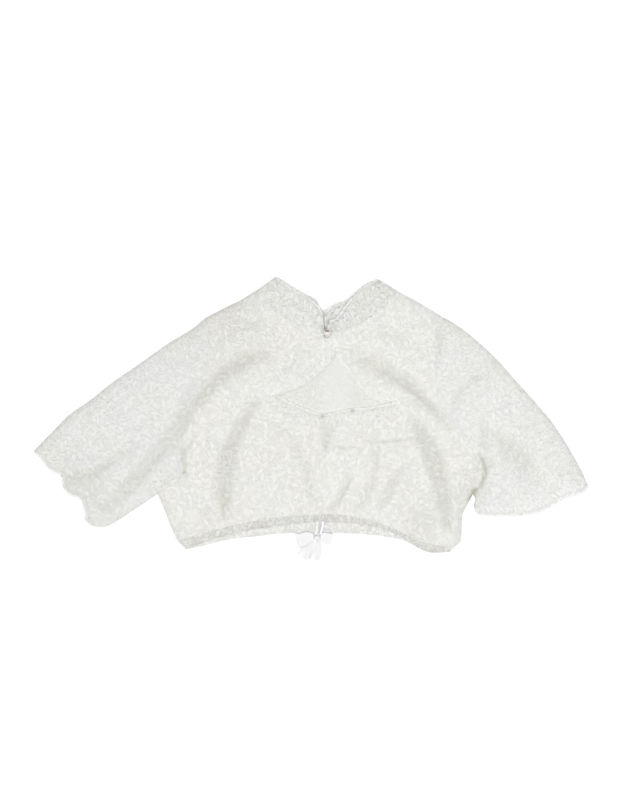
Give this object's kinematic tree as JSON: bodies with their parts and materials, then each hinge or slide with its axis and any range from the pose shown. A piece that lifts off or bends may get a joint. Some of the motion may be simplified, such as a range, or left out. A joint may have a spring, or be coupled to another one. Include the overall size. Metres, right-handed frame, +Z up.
{
  "type": "lace bolero",
  "caption": "Cropped short-sleeved lace bolero lying flat, front up, with a keyhole below a buttoned neckband, scalloped cuffs and a ribbon bow at the gathered hem.",
  "frame": {"origin": "centre of the garment's outline, on the surface it lies on", "axes": "+X to the right of someone looking down at the front, from cuff to cuff; +Y from the hem to the neck; +Z up off the surface"},
  "size_m": [0.8291, 0.4258, 0.0237],
  "materials": {
    "lace": "matte",
    "satin": "satin",
    "pearl": "pearl"
  },
  "bodies": {
    "root": {"back": "lace", "front_left": "lace", "front_right": "lace", "sleeve_left": "lace", "sleeve_right": "lace", "neckband": "lace", "hem_casing": "lace", "button_loop": "satin", "ribbon_strand_left": "satin", "ribbon_strand_right": "satin", "ribbon_knot": "satin", "ribbon_loop_left": "satin", "ribbon_loop_right": "satin", "ribbon_tail_left": "satin", "ribbon_tail_right": "satin", "pearl_button": "pearl"}
  },
  "joints": []
}
